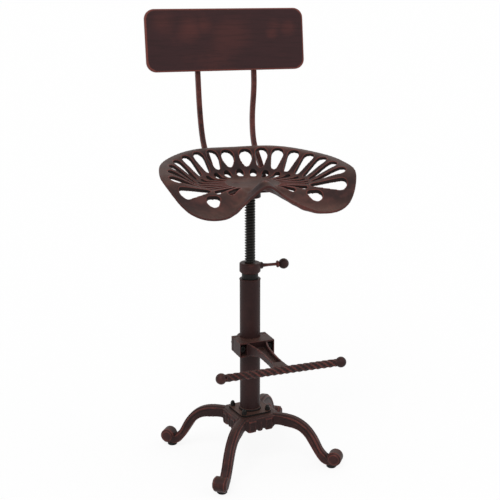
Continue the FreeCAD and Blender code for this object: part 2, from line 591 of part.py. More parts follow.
lever_height = D["tube_top"] + D["nut_rise"] + D["lever_lift"]
lever = new_body("lock_lever", place=V(0, 0, lever_height))
lever.Placement = FreeCAD.Placement(V(0, 0, lever_height), FreeCAD.Rotation(Y, 90))
lever.setExpression("Placement.Base.z", "Dim.tube_top + Dim.nut_rise + Dim.lever_lift")
knob_face = "Dim.lever_reach - Dim.knob / 2"
spin(lever, [("0", "Dim.lever_root"), ("Dim.lever_rod / 2", "Dim.lever_root"),
             ("Dim.lever_rod / 2", "Dim.lever_boss_reach + 1"),
             ("Dim.lever_tip / 2", "Dim.lever_boss_reach + 12"),
             ("Dim.lever_tip / 2", knob_face + " - 6"), ("Dim.knob_neck / 2", knob_face + " - 4"),
             ("Dim.knob_neck / 2", knob_face + " - 1"),
             ("Dim.lever_tip / 2", knob_face + " - 1"), ("Dim.lever_tip / 2", "Dim.lever_reach"),
             ("0", "Dim.lever_reach")])
keep(lever)

ball = Part.makeSphere(D["knob"] / 2, V(D["lever_reach"], 0, lever_height))
neck_cut = cylinder(D["lever_tip"] / 2 + D["nut_gap"], D["knob"], V(D["lever_reach"] - D["knob"],
                    0, lever_height), X)
face_cut = cylinder(D["knob"], D["knob"], V(D["lever_reach"] - D["knob"] * 1.5 + 0.8, 0,
                    lever_height), X)
loose("lever_knob", ball.cut([neck_cut, face_cut]))

# Footrest: clamp block, ribbed arm, twisted bar and ball ends in one casting
rest_place = FreeCAD.Placement(V(0, 0, D["rest_height"]), FreeCAD.Rotation(Z, D["rest_turn"]))


def rest_body(name):
    body = new_body(name, D["rest_turn"], V(0, 0, D["rest_height"]))
    body.setExpression("Placement.Base.z", "Dim.rest_height")
    body.setExpression("Placement.Rotation.Angle", "Dim.rest_turn")
    return body


front = rest_body("ClampAndArm")
w, f = "Dim.clamp_half", "-Dim.clamp_split / 2"
block = closed_profile(new_sketch(front, "BlockPlan", "XY_Plane"),
                       [("-" + w, "-Dim.clamp_front"), (w, "-Dim.clamp_front"), (w, f),
                        ("-" + w, f)])
pad(front, block, "Dim.clamp_height", both=True, name="Block")
arm_side = closed_profile(new_sketch(front, "ArmSide", "YZ_Plane"), [
    ("-Dim.clamp_front + 1", "Dim.clamp_height / 2 - 2"),
    ("-Dim.bar_reach", "Dim.bar_lift + Dim.bar_across / 2"),
    ("-Dim.bar_reach", "Dim.bar_lift - Dim.bar_across / 2 + 0.5"),
    ("-Dim.clamp_front - 40", "Dim.clamp_height / 2 - 2 - Dim.arm_depth"),
    ("-Dim.clamp_front + 1", "-Dim.clamp_height / 2 + 2")])
pad(front, arm_side, "2 * Dim.arm_root", both=True, name="Arm")
near, far = -D["clamp_front"], -D["bar_reach"]
waist_y = near + (far - near) * 0.5
swing = [(D["arm_root"], near), (D["arm_waist"] * 1.25, near + (far - near) * 0.22),
         (D["arm_waist"], waist_y), (D["arm_waist"] * 1.02, near + (far - near) * 0.8),
         (D["arm_tip"], far)]


def flanks(name, edge, outside):
    """Two mirrored regions between a concave edge and a line outside it."""
    sketch = new_sketch(front, name, "XY_Plane")
    for hand in (-1, 1):
        pts = [(hand * a, b) for a, b in edge]
        corner = [(hand * outside, edge[-1][1]), (hand * outside, edge[0][1])]
        free_profile(sketch, [spline(pts), line(pts[-1], corner[0]), line(corner[0], corner[1]),
                              line(corner[1], pts[0])])
    return sketch


pocket(front, flanks("ArmPlan", swing, D["arm_root"] + 3), both=True, name="ArmFlanks")
web = [(a - D["arm_rib"], b) for a, b in swing[:-1]]
web_end = (web[-1][0], web[-1][1])
web_plan = new_sketch(front, "WebPlan", "XY_Plane",
                      FreeCAD.Placement(V(0, 0, D["clamp_height"]), FreeCAD.Rotation()))
web_plan.setExpression("AttachmentOffset.Base.z", "Dim.clamp_height")
mirror_web = [(-a, b) for a, b in web]
free_profile(web_plan, [spline(web), line(web[-1], mirror_web[-1]), spline(mirror_web[::-1]),
                        line(mirror_web[0], web[0])])
pocket(front, web_plan, "Dim.clamp_height / 2 + Dim.clamp_height / 2 - Dim.arm_web / 2 + 2",
       name="ArmWeb")
tube_groove = circle_sketch(new_sketch(front, "TubeGroove", "XY_Plane"), "0", "0",
                            "Dim.tube_od / 2 + Dim.clamp_gap")
pocket(front, tube_groove, both=True, name="Groove")
for hand in (-1, 1):
    tag = "Left" if hand < 0 else "Right"
    recess = new_sketch(front, "Recess" + tag, "XZ_Plane",
                        FreeCAD.Placement(V(0, 0, D["clamp_front"]), FreeCAD.Rotation()))
    recess.setExpression("AttachmentOffset.Base.z", "Dim.clamp_front")
    inner = "%d * (Dim.clamp_bolt_spread - Dim.clamp_head / 2 - 0.5)" % hand
    outer = "%d * (Dim.clamp_half - 2)" % hand
    height = "(Dim.clamp_height / 2 - 3.5)"
    closed_profile(recess, [(inner, "-" + height), (outer, "-" + height), (outer, height),
                            (inner, height)])
    pocket(front, recess, "Dim.clamp_pocket", name="Recess%sCut" % tag)
    hole = circle_sketch(new_sketch(front, "ClampHole" + tag, "XZ_Plane"),
                         "%d * Dim.clamp_bolt_spread" % hand, "0", "Dim.clamp_bolt_hole / 2")
    pocket(front, hole, both=True, name="ClampHole%sCut" % tag)


def twisted_bar(half, across, turn_length):
    """Square bar with rounded arrises, wrung about its own length along X."""
    corner, sections = across * 0.22, []
    count = int(math.ceil(2 * half / (turn_length / 12)))
    flat = across / 2
    cut = flat - corner
    outline = [(flat, cut), (cut, flat), (-cut, flat), (-flat, cut), (-flat, -cut),
               (-cut, -flat), (cut, -flat), (flat, -cut)]
    for i in range(count + 1):
        x = -half + 2 * half * i / count
        angle = 2 * math.pi * (x + half) / turn_length
        ring = [V(x, a * math.cos(angle) - b * math.sin(angle),
                  a * math.sin(angle) + b * math.cos(angle)) for a, b in outline]
        sections.append(Part.makePolygon(ring + ring[:1]))
    return Part.makeLoft(sections, True, True)


bar_at = V(0, -D["bar_reach"], D["bar_lift"])
twist = twisted_bar(D["bar_half"], D["bar_across"] * 1.06, D["bar_twist_pitch"])
twist.translate(bar_at)
bar_shapes = [twist, cylinder(D["bar_across"] / 2, 2 * D["arm_tip"] + 8,
                              bar_at - X * (D["arm_tip"] + 4), X)]
for hand in (-1, 1):
    bar_shapes.append(Part.makeSphere(D["bar_ball"] / 2, bar_at + X * hand * D["bar_half"]))
rest_bar = doc.addObject("Part::Feature", "TwistedBar")
rest_bar.Shape = bar_shapes[0].fuse(bar_shapes[1:])
rest_bar.Placement = rest_place
footrest = doc.addObject("Part::MultiFuse", "footrest")
footrest.Label = "footrest"
footrest.Shapes = [front, rest_bar]
keep(footrest)

strap = rest_body("clamp_back")
b = "Dim.clamp_split / 2"
ears = closed_profile(new_sketch(strap, "Ears", "XY_Plane"),
                      [("-" + w, b), (w, b), (w, b + " + Dim.clamp_ear"),
                       ("-" + w, b + " + Dim.clamp_ear")])
pad(strap, ears, "Dim.clamp_height", both=True, name="EarPad")
saddle = circle_sketch(new_sketch(strap, "Saddle", "XY_Plane"), "0", "0",
                       "Dim.tube_od / 2 + Dim.clamp_gap + Dim.clamp_wall")
pad(strap, saddle, "Dim.clamp_height", both=True, name="SaddlePad")
reach = "Dim.tube_od"
away = closed_profile(new_sketch(strap, "FrontHalf", "XY_Plane"),
                      [("-" + reach, b), ("-" + reach, "-" + reach), (reach, "-" + reach),
                       (reach, b)])
pocket(strap, away, both=True, name="FrontHalfCut")
groove = circle_sketch(new_sketch(strap, "StrapGroove", "XY_Plane"), "0", "0",
                       "Dim.tube_od / 2 + Dim.clamp_gap")
pocket(strap, groove, both=True, name="StrapGrooveCut")
for hand in (-1, 1):
    hole = circle_sketch(new_sketch(strap, "StrapHole%d" % (hand + 1), "XZ_Plane"),
                         "%d * Dim.clamp_bolt_spread" % hand, "0", "Dim.clamp_bolt_hole / 2")
    pocket(strap, hole, both=True, name="StrapHoleCut%d" % (hand + 1))
    seat = new_sketch(strap, "NutSeat%d" % (hand + 1), "XZ_Plane",
                      FreeCAD.Placement(V(0, 0, -(D["clamp_split"] / 2 + D["clamp_ear"])),
                                        FreeCAD.Rotation()))
    seat.setExpression("AttachmentOffset.Base.z", "-(Dim.clamp_split / 2 + Dim.clamp_ear)")
    circle_sketch(seat, "%d * Dim.clamp_bolt_spread" % hand, "0", "Dim.nut_across * 0.62")
    pocket(strap, seat, "Dim.nut_across * 2", name="NutSeatCut%d" % (hand + 1))
keep(strap)

clamp_bolts, clamp_nuts = [], []
head_y = D["clamp_pocket"] - D["clamp_front"]
nut_y = D["clamp_split"] / 2 + D["clamp_ear"]
for hand in (-1, 1):
    x = hand * D["clamp_bolt_spread"]
    head = cylinder(D["clamp_head"] / 2, D["clamp_head_height"],
                    V(x, head_y - D["clamp_head_height"], 0), Y)
    shank = cylinder(D["clamp_bolt"] / 2, nut_y + D["nut_height"] + 2 - head_y, V(x, head_y, 0), Y)
    key = prism(6, 3, V(x, head_y - D["clamp_head_height"], 0), Y)
    clamp_bolts.append(head.fuse(shank).removeSplitter().cut(key))
    nut = prism(D["nut_across"], D["nut_height"], V(x, nut_y, 0), Y)
    clamp_nuts.append(nut.cut(cylinder(D["clamp_bolt"] / 2 + 0.05, D["nut_height"] + 1,
                                       V(x, nut_y - 0.5, 0), Y)))
for name, solids in (("clamp_bolts", clamp_bolts), ("clamp_nuts", clamp_nuts)):
    group = Part.makeCompound(solids)
    group.Placement = rest_place
    loose(name, Part.makeCompound(group.Solids))

# Seat mount: plate under the pan with a hub that takes the screw's spigot
plate_z = size(plate_low)
mount = new_body("seat_mount")
plan = new_sketch(mount, "MountPlan", "XY_Plane",
                  FreeCAD.Placement(V(0, 0, plate_z), FreeCAD.Rotation()))
plan.setExpression("AttachmentOffset.Base.z", plate_low)
closed_profile(plan, [("-Dim.mount_half", "-Dim.mount_front"), ("Dim.mount_half",
               "-Dim.mount_front"), ("Dim.mount_half", "Dim.mount_back"),
               ("-Dim.mount_half", "Dim.mount_back")])
plate_pad = pad(mount, plan, "Dim.mount_thick", name="MountPlate")
mount_hub = new_sketch(mount, "MountHub", "XY_Plane",
                       FreeCAD.Placement(V(0, 0, plate_z), FreeCAD.Rotation()))
mount_hub.setExpression("AttachmentOffset.Base.z", plate_low)
circle_sketch(mount_hub, "0", "0", "Dim.mount_hub / 2")
pad(mount, mount_hub, "Dim.mount_hub_drop", reverse=True, name="MountHubPad")
spigot_hole = new_sketch(mount, "SpigotHole", "XY_Plane")
circle_sketch(spigot_hole, "0", "0", "Dim.spigot / 2 + Dim.spigot_gap")
pocket(mount, spigot_hole, plate_low + " - Dim.mount_hub_drop + Dim.spigot_height + 0.5",
       reverse=True, name="SpigotHoleCut")
pin_hole = circle_sketch(new_sketch(mount, "MountPinHole", "YZ_Plane"), "0",
                         plate_low + " - Dim.mount_hub_drop + Dim.spigot_height / 2",
                         "Dim.cross_pin / 2 + 0.05")
pocket(mount, pin_hole, both=True, name="MountPinHoleCut")
seat_bolt_spots = (("Dim.seat_bolt_spread", "-Dim.seat_bolt_front"),
                   ("-Dim.seat_bolt_spread", "-Dim.seat_bolt_front"), ("0", "Dim.seat_bolt_back"))
bar_bolt_spots = [(s + "Dim.bar_spread", y) for s in ("", "-")
                  for y in ("-Dim.bar_bolt_front", "Dim.bar_bolt_back")]
for i, (x, y) in enumerate(seat_bolt_spots):
    hole = circle_sketch(new_sketch(mount, "SeatBoltHole%d" % i, "XY_Plane"), x, y,
                         "Dim.seat_bolt_hole / 2")
    pocket(mount, hole, "Dim.seat_floor", reverse=True, name="SeatBoltCut%d" % i)
for i, (x, y) in enumerate(bar_bolt_spots):
    hole = circle_sketch(new_sketch(mount, "BarBoltHole%d" % i, "XY_Plane"), x, y,
                         "Dim.bar_bolt / 2 + 0.05")
    pocket(mount, hole, plate_low + " + Dim.mount_thick - 1", reverse=True,
           name="BarBoltCut%d" % i)
doc.recompute()
corners = edges_where(mount.Shape, lambda e: "Line" in str(e.Curve)
                      and abs(e.Length - D["mount_thick"]) < 1e-3
                      and abs(abs(e.CenterOfMass.x) - D["mount_half"]) < 1e-3)
dress(mount, "Fillet", mount.Tip, corners, "Dim.mount_corner", "MountCorners")
keep(mount)
pin_z = plate_z - D["mount_hub_drop"] + D["spigot_height"] / 2
loose("cross_pin", cylinder(D["cross_pin"] / 2, D["mount_hub"] - 1,
                            V(0.5 - D["mount_hub"] / 2, 0, pin_z), X))

# Seat pan: pierced dished casting
STATIONS = [tuple(D["rim_%s_%s" % (field, "abcdefghij"[i])] for field in RIM_FIELDS)
            for i in range(len(RIM))]


def rim_value(angle, column):
    """Smooth value round the rim at an angle from the back, the same on both sides."""
    angle = abs((angle + 180) % 360 - 180)
    knots = [(-STATIONS[1][0],) + STATIONS[1][1:]] + STATIONS
    knots = knots + [(360 - STATIONS[-2][0],) + STATIONS[-2][1:]]
    i = 1
    while i < len(knots) - 3 and angle > knots[i + 1][0]:
        i += 1
    a, b, c, e = knots[i - 1:i + 3]
    span = c[0] - b[0]
    u = (angle - b[0]) / span
    slope_b = (c[column] - a[column]) / (c[0] - a[0]) * span
    slope_c = (e[column] - b[column]) / (e[0] - b[0]) * span
    return ((2 * u ** 3 - 3 * u * u + 1) * b[column] + (u ** 3 - 2 * u * u + u) * slope_b
            + (3 * u * u - 2 * u ** 3) * c[column] + (u ** 3 - u * u) * slope_c)


def polar(x, y):
    return math.degrees(math.atan2(x, y + D["seat_centre"])), math.hypot(x, y + D["seat_centre"])


def smooth(share):
    share = min(max(share, 0.0), 1.0)
    return share * share * (3 - 2 * share)


def bell(offset):
    return (1 - offset * offset) ** 2 if abs(offset) < 1 else 0.0


def seat_height(x, y):
    """Height of the sitting surface above the floor plane."""
    angle, reach = polar(x, y)
    turn, share = rim_value(angle, 3), reach / rim_value(angle, 1)
    floor = D["seat_floor"]
    dish = (rim_value(angle, 2) - floor) * smooth((share - turn) / (RIM_SHARE - turn))
    pommel = (bell((share - D["pommel_share"]) / D["pommel_length"])
              * bell((180 - abs(angle)) / D["pommel_spread"]))
    return floor + dish + D["pommel_rise"] * pommel


def underside(x, y):
    step = 1.0
    dx = (seat_height(x + step, y) - seat_height(x - step, y)) / (2 * step)
    dy = (seat_height(x, y + step) - seat_height(x, y - step)) / (2 * step)
    angle, reach = polar(x, y)
    thin = smooth((reach / rim_value(angle, 1) - 1) / D["seat_edge_band"] + 1)
    wall = D["seat_wall"] - (D["seat_wall"] - D["seat_edge"]) * thin
    return seat_height(x, y) - wall * math.sqrt(1 + dx * dx + dy * dy)


def rim_spot(angle, share=1.0, inside=0.0):
    reach = rim_value(angle, 1) * share - inside
    a = math.radians(angle)
    return V(reach * math.sin(a), reach * math.cos(a) - D["seat_centre"], 0)


rim_points = [rim_spot(angle) for angle in range(0, 360, 6)]
rim_curve = Part.BSplineCurve()
rim_curve.interpolate(rim_points, PeriodicFlag=True)
low_z = min(s[2] for s in STATIONS) - 60
high_z = max(s[2] for s in STATIONS) + 60
outline = Part.Face(Part.Wire(rim_curve.toShape()))
outline.translate(V(0, 0, low_z))
blank = outline.extrude(V(0, 0, high_z - low_z))
side_reach = max(s[1] for s in STATIONS) + 16
GRID = 34


def sheet_face(height, grow):
    rows = []
    for i in range(GRID + 1):
        x = (-1 + 2.0 * i / GRID) * side_reach * grow
        rows.append([V(x, y, height(x, y)) for y in
                     [(-1 + 2.0 * j / GRID) * side_reach * grow - D["seat_centre"]
                      for j in range(GRID + 1)]])
    surface = Part.BSplineSurface()
    surface.interpolate(rows)
    return surface.toShape()


above = sheet_face(seat_height, 1.0).extrude(V(0, 0, 200))
below = sheet_face(underside, 1.01).extrude(V(0, 0, -200))
pan = blank.cut(above).cut(below)


def slot(angle, inner, outer, narrow, wide):
    """Radial slot with round ends, wider outside, cut straight down."""
    a = math.radians(angle)
    out, side = V(math.sin(a), math.cos(a), 0), V(math.cos(a), -math.sin(a), 0)
    centre, r, rr = V(0, -D["seat_centre"], low_z), narrow / 2, wide / 2
    p, q = centre + out * (inner + r), centre + out * (outer - rr)
    tilt = math.asin((rr - r) / (q - p).Length)
    left = side * -math.cos(tilt) - out * math.sin(tilt)
    right = side * math.cos(tilt) - out * math.sin(tilt)
    edges = [Part.Arc(p + left * r, p - out * r, p + right * r).toShape(),
             Part.LineSegment(p + right * r, q + right * rr).toShape(),
             Part.Arc(q + right * rr, q + out * rr, q + left * rr).toShape(),
             Part.LineSegment(q + left * rr, p + left * r).toShape()]
    return Part.Face(Part.Wire(edges)).extrude(V(0, 0, high_z - low_z))


def oval(angle, back, side):
    """Radius of an oval that is one size towards the back and another to the sides."""
    a = math.radians(angle)
    return 1 / math.hypot(math.cos(a) / back, math.sin(a) / side)


lengths, angles = [0.0], [0.0]
for step in range(1, 721):
    angles.append(step * 0.25)
    lengths.append(lengths[-1] + (rim_spot(angles[-1]) - rim_spot(angles[-2])).Length)


def angle_at(length):
    """Angle of the rim point at a distance along the rim from the back."""
    i = next(k for k, reached in enumerate(lengths) if reached >= length)
    i = max(i, 1)
    share = (length - lengths[i - 1]) / (lengths[i] - lengths[i - 1])
    return angles[i - 1] + (angles[i] - angles[i - 1]) * share


cutters = []
for hand in (-1, 1):
    for k in range(10):
        angle = angle_at(D["slot_lead"] + k * D["slot_pitch"])
        band = D["seat_rim_band"] if k < 9 else D["seat_front_band"]
        cutters.append(slot(hand * angle, oval(angle, D["slot_ring_back"], D["slot_ring_side"]),
                            rim_value(angle, 1) - band,
                            oval(angle, D["slot_inner_back"], D["slot_inner"]),
                            oval(angle, D["slot_outer_back"], D["slot_outer"])))
    for k in range(0 if hand > 0 else 1, 11):
        angle = angle_at(D["slot_lead"] + (k - 0.5) * D["slot_pitch"]) if k else 0.0
        outer = oval(angle, D["slot_ring_back"], D["slot_ring_side"]) - D["slot_web"]
        if k == 10:
            outer -= D["slot_front_web"]
        middle = D["panel_back"] if angle < 90 else D["panel_front"]
        cutters.append(slot(hand * angle, oval(angle, middle, D["panel_side"]), outer,
                            oval(angle, D["small_slot_back"] * 0.75, D["small_slot_inner"]),
                            oval(angle, D["small_slot_back"], D["small_slot_outer"])))
sunk, cone = D["seat_floor"] - D["seat_bolt_sink"], D["seat_bolt_head_height"]
wide_r, ease = D["seat_bolt_head"] / 2, D["countersink_gap"]
for x, y in seat_bolt_spots:
    at = V(size(x), size(y), 0)
    cutters.append(cylinder(D["seat_bolt_hole"] / 2, high_z - low_z, at + Z * low_z))
    cutters.append(Part.makeCone(D["seat_bolt"] / 2 + ease, wide_r + ease, cone,
                                 at + Z * (sunk - cone)))
    cutters.append(cylinder(wide_r + ease, high_z - sunk, at + Z * sunk))
pan = pan.cut(cutters)
loose("seat_pan", pan)

seat_bolts, seat_nuts = [], []
for x, y in seat_bolt_spots:
    at = V(size(x), size(y), 0)
    head = Part.makeCone(D["seat_bolt"] / 2, wide_r, cone, at + Z * (sunk - cone))
    foot = plate_z - D["nut_height"] - 2
    shank = cylinder(D["seat_bolt"] / 2, sunk - cone - foot, at + Z * foot)
    seat_bolts.append(head.fuse(shank).removeSplitter())
    nut = prism(D["nut_across"], D["nut_height"], at + Z * (plate_z - D["nut_height"]))
    seat_nuts.append(nut.cut(cylinder(D["seat_bolt"] / 2 + 0.05, D["nut_height"] + 1,
                                      at + Z * (plate_z - D["nut_height"] - 0.5))))
loose("seat_bolts", Part.makeCompound(seat_bolts))
loose("seat_nuts", Part.makeCompound(seat_nuts))

# Backrest: two bent bars and a leaning panel
lean = math.radians(D["back_lean"])
up, facing = V(0, math.sin(lean), math.cos(lean)), V(0, -math.cos(lean), math.sin(lean))
panel_at = V(0, D["back_depth"], D["back_height"])
bar_line = panel_at - facing * (D["back_thick"] + D["bar_thick"] / 2)
bar_low = plate_z - D["bar_thick"] / 2
screw_heights = (-D["back_screw_low"], D["back_screw_high"])


def back_bar(hand):
    """Flat bar run under the seat, out behind the rim and up the panel's back."""
    start = V(hand * D["bar_spread"], -D["bar_front"], bar_low)
    knee = V(hand * D["bar_spread"], D["mount_back"] - 2, bar_low)
    rise = bar_line + X * hand * D["bar_spread_top"] - up * (D["back_tall"] / 2 + 4)
    top = bar_line + X * hand * D["bar_spread_top"] + up * (D["back_tall"] / 2
                                                           - D["bar_top_margin"])
    mids = [V(hand * D["bar_spread"], D["bar_run_one"], D["bar_rise_one"]),
            V(hand * (D["bar_spread"] + 1), D["bar_run_two"], D["bar_rise_two"]),
            V(hand * (D["bar_spread"] + D["bar_spread_top"]) / 2, D["bar_run_three"],
              D["bar_rise_three"])]
    bend = Part.BSplineCurve()
    bend.interpolate(Points=[knee] + mids + [rise], InitialTangent=Y * 1.0, FinalTangent=up * 1.0)
    path = Part.Wire([Part.LineSegment(start, knee).toShape(), bend.toShape(),
                      Part.LineSegment(rise, top).toShape()])
    a, b = D["bar_width"] / 2, D["bar_thick"] / 2
    spots = [start + V(i * a, 0, j * b) for i, j in ((-1, -1), (1, -1), (1, 1), (-1, 1))]
    section = Part.makePolygon(spots + spots[:1])
    shell = Part.BRepOffsetAPI.MakePipeShell(path)
    shell.setBiNormalMode(X)
    shell.add(section)
    shell.build()
    shell.makeSolid()
    solid = shell.shape()
    holes = []
    for y in (-D["bar_bolt_front"], D["bar_bolt_back"]):
        holes.append(cylinder(D["bar_bolt_hole"] / 2, D["bar_thick"] + 2,
                              V(hand * D["bar_spread"], y, bar_low - D["bar_thick"] / 2 - 1)))
    for s in screw_heights:
        at = bar_line + X * hand * D["bar_spread_top"] + up * s
        holes.append(cylinder(D["back_screw"] / 2 + 0.3, D["bar_thick"] + 2,
                              at - facing * (D["bar_thick"] / 2 + 1), facing))
    return solid.cut(holes)


loose("back_bar_left", back_bar(-1))
loose("back_bar_right", back_bar(1))
bar_bolts = []
for x, y in bar_bolt_spots:
    at = V(size(x), size(y), plate_z - D["bar_thick"])
    head = prism(D["bar_head"], D["bar_head_height"], at - Z * D["bar_head_height"])
    shank = cylinder(D["bar_bolt"] / 2, D["bar_thick"] + D["mount_thick"] - 1.5, at)
    bar_bolts.append(head.fuse(shank).removeSplitter())
loose("bar_bolts", Part.makeCompound(bar_bolts))

panel = new_body("back_panel")
panel.Placement = FreeCAD.Placement(panel_at, FreeCAD.Rotation(X, 90 - D["back_lean"]))
for axis, text in (("Base.y", "Dim.back_depth"), ("Base.z", "Dim.back_height"),
                   ("Rotation.Angle", "90 - Dim.back_lean")):
    panel.setExpression("Placement." + axis, text)
board = closed_profile(new_sketch(panel, "BoardOutline", "XY_Plane"), [
    ("-Dim.back_width / 2", "-Dim.back_tall / 2"), ("Dim.back_width / 2", "-Dim.back_tall / 2"),
    ("Dim.back_width / 2", "Dim.back_tall / 2"), ("-Dim.back_width / 2", "Dim.back_tall / 2")])
board_pad = pad(panel, board, "Dim.back_thick", reverse=True, name="Board")
doc.recompute()
ends = edges_where(panel.Tip.Shape, lambda e: abs(e.Length - D["back_thick"]) < 1e-3)
rounds = dress(panel, "Fillet", board_pad, ends, "Dim.back_corner", "Corners")
doc.recompute()
rims = edges_where(rounds.Shape, lambda e: e.Length > D["back_thick"] + 1)
dress(panel, "Fillet", rounds, rims, "Dim.back_edge", "Edges")
i = 0
for hand in ("", "-"):
    for y in ("-Dim.back_screw_low", "Dim.back_screw_high"):
        i += 1
        bite = new_sketch(panel, "ScrewHole%d" % i, "XY_Plane",
                          FreeCAD.Placement(V(0, 0, -D["back_thick"]), FreeCAD.Rotation()))
        bite.setExpression("AttachmentOffset.Base.z", "-Dim.back_thick")
        circle_sketch(bite, hand + "Dim.bar_spread_top", y, "Dim.back_screw_hole / 2")
        pocket(panel, bite, "Dim.back_screw_bite + 0.5", reverse=True, name="ScrewCut%d" % i)
keep(panel)
panel_screws = []
for hand in (-1, 1):
    for s in screw_heights:
        behind = bar_line + X * hand * D["bar_spread_top"] + up * s - facing * D["bar_thick"] / 2
        head = cylinder(D["back_screw_head"] / 2, D["back_screw_head_height"], behind, -facing)
        shank = cylinder(D["back_screw"] / 2, D["bar_thick"] + D["back_screw_bite"], behind, facing)
        panel_screws.append(head.fuse(shank).removeSplitter())
loose("panel_screws", Part.makeCompound(panel_screws))

doc.recompute()
os.makedirs("parts", exist_ok=True)
for thing in NODES:
    shape = thing.Shape
    if "Invalid" in thing.State or "Error" in thing.State or shape.isNull() or not shape.isValid():
        raise ValueError("%s did not build: %s" % (thing.Label, thing.State))
    shape.exportStep("parts/%s.step" % thing.Label)
    box = shape.BoundBox
    print("%-18s %d solids %9.0f mm3  x %.1f..%.1f y %.1f..%.1f z %.1f..%.1f" % (
        thing.Label, len(shape.Solids), shape.Volume, box.XMin, box.XMax, box.YMin, box.YMax,
        box.ZMin, box.ZMax))
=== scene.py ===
import json
import math

import bmesh
import bpy
import numpy as np
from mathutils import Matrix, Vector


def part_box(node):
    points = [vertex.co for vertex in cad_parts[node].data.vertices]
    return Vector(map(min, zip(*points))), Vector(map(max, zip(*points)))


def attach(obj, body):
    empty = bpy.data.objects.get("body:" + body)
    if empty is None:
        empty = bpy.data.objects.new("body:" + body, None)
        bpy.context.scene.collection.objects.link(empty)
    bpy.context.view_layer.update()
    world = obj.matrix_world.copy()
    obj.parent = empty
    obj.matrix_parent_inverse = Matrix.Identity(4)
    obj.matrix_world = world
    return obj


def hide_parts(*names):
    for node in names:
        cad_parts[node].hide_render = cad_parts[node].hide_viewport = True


# Tractor seat stool: rubbed dark castings, a black threaded screw and a stained back panel.
# Metres, +Z up, the column on the Z axis, the sitter faces -Y.

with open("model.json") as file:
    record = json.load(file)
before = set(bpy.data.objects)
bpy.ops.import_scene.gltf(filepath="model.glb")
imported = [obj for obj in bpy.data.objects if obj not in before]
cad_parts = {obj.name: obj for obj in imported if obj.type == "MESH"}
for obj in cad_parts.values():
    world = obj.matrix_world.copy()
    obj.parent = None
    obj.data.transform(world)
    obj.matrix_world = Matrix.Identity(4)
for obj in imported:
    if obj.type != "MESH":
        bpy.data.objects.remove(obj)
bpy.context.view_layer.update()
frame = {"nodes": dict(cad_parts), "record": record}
nodes = frame["nodes"]
body_of = {node: body for body, members in frame["record"]["behaviour"]["bodies"].items()
           for node in members}
slot_of = {part["node"]: part["material_slot"] for part in frame["record"]["subparts"]}
MM = 0.001
WELD = 0.01 * MM

# Colours, as the shader takes them
# Near-black, for hollows, the board's dark grain and the painted shade in the pan's slots
NEAR_BLACK = (0.0075, 0.0052, 0.0048, 1)
DARK_BROWN = (0.021, 0.0085, 0.0082, 1)
WARM_BROWN = (0.066, 0.0235, 0.0205, 1)
COPPER_RED = (0.145, 0.040, 0.032, 1)
# Tan of the painted sheen that the top light leaves on upward faces
SHEEN_TAN = (0.105, 0.055, 0.040, 1)
OILED_BLACK = (0.008, 0.0072, 0.0065, 1)
WORN_GREY = (0.038, 0.033, 0.029, 1)
STAIN_DARK = (0.034, 0.0135, 0.0145, 1)
STAIN_RED = (0.075, 0.023, 0.0205, 1)
PAD_BLACK = (0.009, 0.009, 0.009, 1)
NYLON_PALE = (0.72, 0.70, 0.63, 1)
NYLON_DULL = (0.5, 0.47, 0.40, 1)
PAPER_WHITE = (0.93, 0.93, 0.93, 1)
PURE_WHITE = (1, 1, 1, 1)

# Spots of the back panel rubbed to red: across, height, reach in mm, and how far
RUBBED_SPOTS = ((-140, 962, 50, 0.9), (-85, 944, 46, 1.0), (-48, 952, 34, 0.9),
                (10, 930, 70, 0.55), (108, 932, 26, 1.4), (114, 952, 30, 1.0),
                (146, 942, 32, 1.0))
PANEL_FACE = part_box("back_panel")[0].y


class Wire:
    """A shader socket that takes part in arithmetic."""

    def __init__(self, graph, socket):
        self.graph = graph
        self.socket = socket

    def maths(self, operation, first, second):
        return self.graph.node("ShaderNodeMath", {"operation": operation}, {0: first, 1: second})

    def __add__(self, other):
        return self.maths("ADD", self, other)

    def __sub__(self, other):
        return self.maths("SUBTRACT", self, other)

    def __rsub__(self, other):
        return self.maths("SUBTRACT", other, self)

    def __mul__(self, other):
        return self.maths("MULTIPLY", self, other)

    __radd__ = __add__
    __rmul__ = __mul__

    def most(self, other):
        return self.maths("MAXIMUM", self, other)

    def size(self):
        return self.graph.node("ShaderNodeMath", {"operation": "ABSOLUTE"}, {0: self})

    def smooth(self, low, high):
        """0 below low, 1 above high and a smooth rise between."""
        return self.graph.node("ShaderNodeMapRange", {"interpolation_type": "SMOOTHSTEP"},
                               {"Value": self, "From Min": low, "From Max": high})


